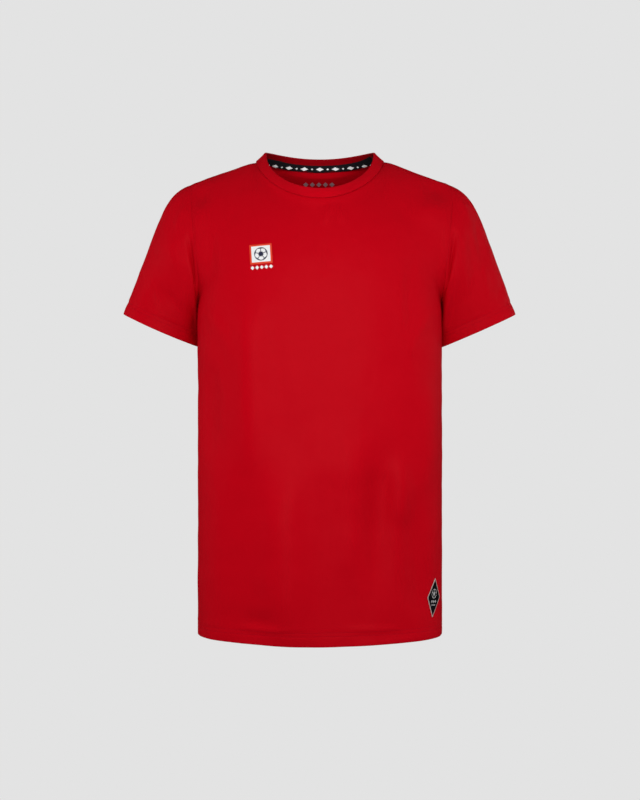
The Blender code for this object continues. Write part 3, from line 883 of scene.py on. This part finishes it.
def panelGrid(panel, creases, seed):
    cut = panelCut
    half = np.linspace(0, 1, cut["halfColumns"] + 1)
    half[-1] -= cut["inset"]
    across = np.concatenate([-half[:0:-1], half])
    hemStep = cut["hemStep"] / (bodyForm["underarm"] - bodyForm["hemLevel"])
    hemRows = np.arange(cut["hemRows"]) * hemStep
    lower = np.concatenate([hemRows, np.linspace(cut["hemRows"] * hemStep, 1, cut["bodyRows"])])
    upper = np.linspace(0, 1, cut["chestRows"] + 1)[1:]
    upper[-1] -= cut["inset"]
    underarmUp = bodyForm["underarmUp"]
    up = np.concatenate([lower * underarmUp, underarmUp + (1 - underarmUp) * upper])[None, :]
    points = panelPoints(panel, across[:, None], up)
    upperRows = step(cut["evenFrom"], cut["evenFull"], up) * step(1.0, cut["evenUntil"], up)
    points = evened(points, 0, upperRows, cut["evening"])
    share = np.abs(across)[:, None]
    nearUnderarm = hump(up, underarmUp, cut["underarmReach"]) * (1 - share ** cut["underarmFadePower"])
    points = evened(points, 1, nearUnderarm, cut["evening"])
    x, z = points[..., 0], points[..., 2]
    intoTop = np.clip((up - cut["topFadeFrom"]) / (1 - cut["topFadeFrom"]), 0, 1)
    fade = (1 - share ** cut["sideFadePower"]) * (1 - intoTop**3)
    drawnOut = points * (1, 1, 0.2)  # for unevenness that is five times as long up and down
    lift = creaseLift(creases, x, z) * fade
    lift += unevenness(points, cut["wavinessScale"], cut["waviness"], seed) * fade
    lift += unevenness(drawnOut, cut["streakScale"], cut["streaks"], seed + 17) * fade
    lift += seamPuff((1 - share) * cut["halfGirth"], z, seed) * (1 - share ** cut["puffFadePower"])
    sideRise = share ** bodyForm["hemRisePower"]
    height = z - (bodyForm["hemLevel"] + bodyForm["hemSideRise"] * sideRise)
    seam = cut["hemDepth"] - cut["hemNarrowing"] * sideRise
    uneven = unevenness(points * (1, 1, 0), cut["unevenScale"], cut["unevenSpread"], seed + 5)
    uneven = np.clip(cut["unevenMean"] + uneven, 0, 2)
    lift += hemLift(cut, height, seam, cut["leastSink"] + (1 - cut["leastSink"]) * uneven, uneven)
    pucker = unevenness(drawnOut, cut["puckerScale"], cut["pucker"], seed + 9) * fade
    points = settle(lifted(points, lift + pucker * hump(height, seam, cut["puckerReach"])))
    return points, clothPlaces(points, len(lower), height - seam)


def addPanel(name, panel, creases, seed, node, materials):
    points, cloths = panelGrid(panel, creases, seed)
    addHemmed(name, points, cloths, panelCut, -1, cloth["shoulderDepth"], materials, node)
    return points


frontSurface = addPanel(
    "front_panel", frontForm, frontCreases, 0.0, "front", [jerseyKnit])
addPanel(
    "back_panel", backForm, backCreases, 31.0, "back", [jerseyKnit, printedInside])
print("front and back made")

# Sleeves

sleeveCut = {
    "columns": 120, "rows": 56, "closerByArmhole": 1.35, "inset": 0.00006, "measuredRow": 20,
    "fadePower": 0.3, "armholeFade": 0.06,
    "hemDepth": 0.019, "twinGap": 0.005, "twinShare": 0.4, "hemStep": 0.002, "hemRows": 15,
    "hemPuff": 0.0004, "hemMiddle": 0.009, "flare": 0.0006, "stitchSink": 0.0005, "stitchWidth": 0.0018,
    "swell": 0.0003, "swellAbove": 0.005, "swellWidth": 0.0035, "waviness": 0.0018, "wavinessScale": 11.0,
    "flat": (0.487, 0.234), "flatArea": 0.059,
}
# Places on a sleeve: x is the way round from the underarm by the front, z the way down, in metres
leftCreases = millimetreTable(
    creaseColumns,
    (130, 12, 45, 13, 0, 11, -7),
    (176, 6, 168, 70, 0, 12, 2.2),
    (150, 45, 108, 155, 4, 16, -2.6),
    (176, 75, 158, 145, 0, 16, -2.8),
    (64, 65, 61, 180, 0, 13, 4.2),
    (152, 135, 148, 180, 0, 10, 2.2),
    (200, 180, 160, 186, 0, 7, -1.6),
    (300, 30, 270, 160, 8, 13, 3.4),
    (370, 20, 330, 120, 8, 11, -3),
    (240, 60, 235, 170, 4, 12, -2.6),
)
rightCreases = millimetreTable(
    creaseColumns,
    (125, 12, 45, 14, 0, 11, -7.5),
    (78, 80, 76, 195, 0, 14, 3),
    (46, 80, 44, 205, 0, 13, -4),
    (60, 214, 165, 214, 0, 13, 3.6),
    (162, 5, 150, 52, 0, 12, 2.4),
    (178, 135, 105, 45, 0, 18, 4),
    (155, 180, 90, 130, 0, 14, -3.4),
    (160, 158, 126, 184, 3, 6, 1.2),
    (290, 40, 300, 170, 8, 17, 3),
    (360, 10, 340, 110, -6, 11, -3),
    (235, 50, 240, 180, 4, 18, -2.6),
)


def addSleeve(name, side, creases, seed, node, innerFront):
    cut = sleeveCut
    turn = np.linspace(cut["inset"], 1 - cut["inset"], cut["columns"] + 1)[:, None]
    hemStep = cut["hemStep"] / sleeveForm["length"]
    upper = np.linspace(0, 1, cut["rows"]) ** cut["closerByArmhole"] * (1 - cut["hemRows"] * hemStep)
    down = np.concatenate([upper, 1 - np.arange(cut["hemRows"])[::-1] * hemStep])[None, :]
    points = sleevePoints(turn, down, innerFront)
    fromCuff = lengthAlong(points.swapaxes(0, 1)[::-1])[::-1].T  # up each column, along the cloth
    x, z = np.broadcast_arrays(turn * sleeveForm["round"], down * sleeveForm["length"])
    ends = np.sin(math.pi * turn) ** cut["fadePower"] * np.clip(down / cut["armholeFade"], 0, 1)
    lift = creaseLift(creases, x, z) * ends
    lift += unevenness(points, cut["wavinessScale"], cut["waviness"], seed) * ends
    lift += hemLift(cut, fromCuff, cut["hemDepth"])
    points = settle(lifted(points, lift) * (side, 1, 1))
    cloths = clothPlaces(points, cut["measuredRow"], fromCuff - cut["hemDepth"])
    knits, flat, area = [jerseyKnit], cut["flat"], cut["flatArea"]
    addHemmed(name, points, cloths, cut, 1, cloth["seamDepth"], knits, node)


addSleeve("left_sleeve", 1, leftCreases, 3.0, "sleeve_left", 0.6)
addSleeve("right_sleeve", -1, rightCreases, 7.0, "sleeve_right", 1.0)
print("sleeves made")

# Neckband and the tape inside it

bandCut = {
    "columns": 288, "rows": 11, "measuredRow": 5, "height": 0.02, "wall": 0.0009,
    "foldRadius": 0.001, "crown": 0.0008, "hollow": -0.0004, "crownFrom": 0.1, "crownFull": 0.7,
    "lowerDepth": 0.0003, "start": 0.00002, "seamLift": 0.0002, "seamLiftFull": 0.5,
    "allowance": 0.0014, "pucker": 0.00022, "puckerScale": 60.0, "flat": (0.500, 0.042),
}


def addNeckband():
    cut = bandCut
    turns = np.linspace(0, math.tau, cut["columns"] + 1)
    heights = np.linspace(0, 1, cut["rows"] + 1)  # 0 at the neck seam and 1 at the top
    heights[0] = cut["start"] / cut["height"]
    seam, edge = neckSeam(turns)[:, None], loopPoint(bandForm, turns)[:, None]
    points = seam + (edge - seam) * heights[None, :, None]
    depth = np.abs(np.sin(turns))[:, None]
    crown = (cut["crown"] - cut["hollow"]) * step(cut["crownFrom"], cut["crownFull"], depth)
    lift = (cut["hollow"] + crown) * np.sin(math.pi * heights)
    lift += cut["seamLift"] * (1 - heights) * step(cut["crownFrom"], cut["seamLiftFull"], depth)
    lift += unevenness(points, cut["puckerScale"], cut["pucker"], 3.0)
    lift[-1] = lift[0]
    points = lifted(points, lift)
    points[-1] = points[0]
    u = lengthAlong(points[:, cut["measuredRow"]])
    cloths = stacked(u[:, None], heights[None, :] * cut["height"], 1.0)
    points, cloths, _ = foldUnder(points, cloths, 1, cut["rows"], cut["foldRadius"], steps=8)
    points, cloths = turnIn(points, cloths, 1, -1, cut["lowerDepth"])
    onward = unit(points[:, -1:] - points[:, -2:-1]) * cut["allowance"]  # its seam allowance inside
    points = np.concatenate([points, points[:, -1:] + onward], axis=1)
    cloths = np.concatenate([cloths, cloths[:, -1:] + (0, cut["allowance"], 0)], axis=1)
    points[-1] = points[0]
    piece = makeCloth("neck_rib", points, cloths, [neckRibKnit], cut["wall"])
    finish(piece, "neckband")


tapeCut = {
    "columns": 150, "rows": 5, "wall": 0.0005, "inward": 0.0023,
    "above": 0.0093, "aboveMore": 0.0158, "morePower": 1.16, "mostLeft": 0.0185, "mostRight": 0.0135,
    "below": 0.0017, "belowLess": 0.011,
    "flat": (0.262, 0.0105),
}
tapeLook = {
    "black": (0.008, 0.008, 0.01), "white": (0.88, 0.88, 0.88), "pitch": 25.0,
    "big": (6.2, 2.9), "small": (2.0, 1.6),  # half the width and height of the marks
    "thread": 0.55, "bump": 0.35, "bumpHeight": 0.00012, "roughness": 0.82, "specular": 0.15,
}


def tapeMaterial():
    material = nodeMaterial("blackNeckTape")
    calc, look = nodeMaths(material), tapeLook
    u, v = millimetres(material)
    big = lozenge(calc, repeated(calc, u, look["pitch"]), v, *look["big"])
    between = repeated(calc, calc("ADD", u, look["pitch"] / 2), look["pitch"])
    marks = calc("MAXIMUM", big, lozenge(calc, between, v, *look["small"]))
    colour = layColour(material, look["black"], look["white"], marks)
    return finishTrim(material, colour, u, v, look)


def addNeckTape():
    cut = tapeCut
    shoulder = neckForm["shoulderTurn"]
    turns = np.linspace(math.pi - shoulder, math.tau + shoulder, cut["columns"] + 1)
    seam, edge = neckSeam(turns), loopPoint(bandForm, turns)
    upward = unit(edge - seam)
    inward = unit(np.cross(upward, np.gradient(seam, axis=0)))
    inward *= -np.sign((inward * seam * (1, 1, 0)).sum(axis=-1, keepdims=True))
    share = np.linspace(0, 1, cut["rows"] + 1)[None, :]
    toEnd = (1 - np.abs(np.sin(turns)))[:, None]
    below = cut["below"] - cut["belowLess"] * toEnd
    most = np.where(np.cos(turns) > 0, cut["mostLeft"], cut["mostRight"])[:, None]
    above = np.minimum(cut["above"] + cut["aboveMore"] * toEnd ** cut["morePower"], most)
    heights = -below + (above + below) * share
    points = seam[:, None] + upward[:, None] * heights[..., None] + inward[:, None] * cut["inward"]
    u = lengthAlong(seam)
    middle = (cut["above"] - cut["below"]) / 2
    cloths = stacked((u - u[-1] / 2)[:, None], heights - middle, 1.0)
    piece = makeCloth("tape_in_neck", points, cloths, [tapeMaterial()], cut["wall"])
    finish(piece, "neck_tape")


addNeckband()
addNeckTape()
print("neckband and tape made")

# Badge on the chest and patch by the hem


def surfaceTree(points):
    across, along = points.shape[:2]
    quads = [(i * along + j, (i + 1) * along + j, (i + 1) * along + j + 1, i * along + j + 1)
             for i in range(across - 1) for j in range(along - 1)]
    return BVHTree.FromPolygons([Vector(p) for p in points.reshape(-1, 3)], quads)


frontTree = surfaceTree(frontSurface)


def frontDepth(x, z):
    return frontTree.ray_cast(Vector((x, -1, z)), Vector((0, 1, 0)))[0].y


def onFront(x, z, lift, reach=0.003):  # the slope is taken over this reach on each side
    slopeX = (frontDepth(x + reach, z) - frontDepth(x - reach, z)) / (2 * reach)
    slopeZ = (frontDepth(x, z + reach) - frontDepth(x, z - reach)) / (2 * reach)
    return Vector((x, frontDepth(x, z), z)) + Vector((slopeX, -1, slopeZ)).normalized() * lift


def trimPlate(bm, uvLayer, form, shape, steps):  # shape(a, b) is a place on the trim, from its centre
    made = bmesh.ops.create_grid(bm, x_segments=steps, y_segments=steps, size=1)
    local = {vert: shape((vert.co.x + 1) / 2, (vert.co.y + 1) / 2) for vert in made["verts"]}
    cosine, sine = math.cos(form["lean"]), math.sin(form["lean"])
    for vert, (u, v) in local.items():
        x, z = form["x"] + u * cosine + v * sine, form["z"] + v * cosine - u * sine
        vert.co = onFront(x, z, form["lift"])
    for face in {face for vert in made["verts"] for face in vert.link_faces}:
        for loop in face.loops:
            loop[uvLayer].uv = local[loop.vert]


def rhombus(width, height, x=0.0, y=0.0):  # a shape for trimPlate, with its centre at x and y
    return lambda a, b: (x + (a - b) / 2 * width, y + (a + b - 1) / 2 * height)


def addTrim(name, form, shapes, material, node):
    bm = bmesh.new()
    uvLayer = bm.loops.layers.uv.new("clothUV")
    for shape, steps in shapes:
        trimPlate(bm, uvLayer, form, shape, steps)
    bm.normal_update()
    bmesh.ops.reverse_faces(bm, faces=[face for face in bm.faces if face.normal.y > 0])
    piece = makePiece(name, bm, [material], form["wall"])
    bevel = piece.modifiers.new("softEdge", "BEVEL")
    bevel.width = form["edgeShare"] * form["wall"]
    bevel.segments = 2
    bevel.limit_method = "ANGLE"
    finish(piece, node)


trim = {
    "lift": 0.001, "wall": 0.0007, "edgeShare": 0.35,  # the rounding of its edges, of the wall
    "thread": 0.5, "bump": 0.25, "bumpHeight": 0.0001, "roughness": 0.6,
}
badge = {
    **trim, "x": -0.0834, "z": -0.145, "lean": math.radians(-4), "specular": 0.25,
    "width": 0.032, "height": 0.0286, "border": 2.6, "borderDrop": 0.5, "margin": (0.001, 0.008),
    "borderRed": (0.76, 0.055, 0.02), "white": (0.86, 0.86, 0.86), "navy": (0.02, 0.022, 0.055),
    "ballRadius": 9.6, "markCount": 5, "markWidth": 0.0056, "markHeight": 0.006,
    "markPitch": 0.0066, "markDrop": 0.0049,
}


def badgeMaterial():
    material = nodeMaterial("chestBadge")
    calc, look = nodeMaths(material), badge
    u, v = millimetres(material)
    halfWidth, halfHeight = look["width"] / 2 * 1000, look["height"] / 2 * 1000
    outU = calc("GREATER_THAN", calc("ABSOLUTE", u), halfWidth - look["border"])
    outV = calc("GREATER_THAN", calc("ABSOLUTE", v), halfHeight - look["border"])
    onBadge = calc("GREATER_THAN", v, -halfHeight - look["borderDrop"])
    border = calc("MULTIPLY", calc("MAXIMUM", outU, outV), onBadge)
    colour = layColour(material, look["white"], look["navy"], ballMark(calc, u, v, look["ballRadius"]))
    return finishTrim(material, layColour(material, colour, look["borderRed"], border), u, v, look)


def addBadge():
    look = badge
    shapes = [(lambda a, b: ((a - 0.5) * look["width"], (b - 0.5) * look["height"]), 16)]
    for k in range(look["markCount"]):
        x, y = (k - (look["markCount"] - 1) / 2) * look["markPitch"], -look["height"] / 2 - look["markDrop"]
        shapes.append((rhombus(look["markWidth"], look["markHeight"], x, y), 4))
    addTrim("badge_on_chest", look, shapes, badgeMaterial(), "chest_badge")


patch = {
    **trim, "x": 0.1635, "z": -0.6366, "lean": math.radians(5), "specular": 0.08,
    "width": 0.019, "height": 0.056, "border": 1.3,
    "turnedAway": 1.93,  # its cloth is this much wider than it looks from the front
    "flat": (0.0315, 0.056),
    "black": (0.006, 0.006, 0.007), "grey": (0.42, 0.4, 0.4), "edge": (0.5, 0.38, 0.36),
    "ballRadius": 6.8, "ballUp": 5.6, "rowDown": 5.4, "rowPitch": 5.2, "rowMark": 2.3, "rowHalf": 7.8,
    "barDown": 10.4, "barHalfHeight": 0.6, "barHalfWidth": 5.5,
}


def patchMaterial():
    material = nodeMaterial("hemPatch")
    calc, look = nodeMaths(material), patch
    u, v = millimetres(material)
    u = calc("MULTIPLY", u, look["turnedAway"])
    halfWidth, halfHeight = look["width"] * look["turnedAway"] / 2 * 1000, look["height"] / 2 * 1000
    inner = 1 - look["border"] * math.hypot(halfWidth, halfHeight) / (halfWidth * halfHeight)
    inside = lozenge(calc, u, v, halfWidth * inner, halfHeight * inner)
    marks = ballMark(calc, u, calc("SUBTRACT", v, look["ballUp"]), look["ballRadius"])
    row = repeated(calc, u, look["rowPitch"])
    row = lozenge(calc, row, calc("ADD", v, look["rowDown"]), look["rowMark"], look["rowMark"])
    bar = calc("LESS_THAN", calc("ABSOLUTE", calc("ADD", v, look["barDown"])), look["barHalfHeight"])
    for mark, half in ((row, look["rowHalf"]), (bar, look["barHalfWidth"])):
        near = calc("LESS_THAN", calc("ABSOLUTE", u), half)
        marks = calc("MAXIMUM", marks, calc("MULTIPLY", mark, near))
    colour = layColour(material, look["black"], look["grey"], marks)
    return finishTrim(material, layColour(material, look["edge"], colour, inside), u, v, look)


def addPatch():
    shapes = [(rhombus(patch["width"], patch["height"]), 16)]
    addTrim("patch_by_hem", patch, shapes, patchMaterial(), "hem_patch")


addBadge()
addPatch()
print("badge and patch made")
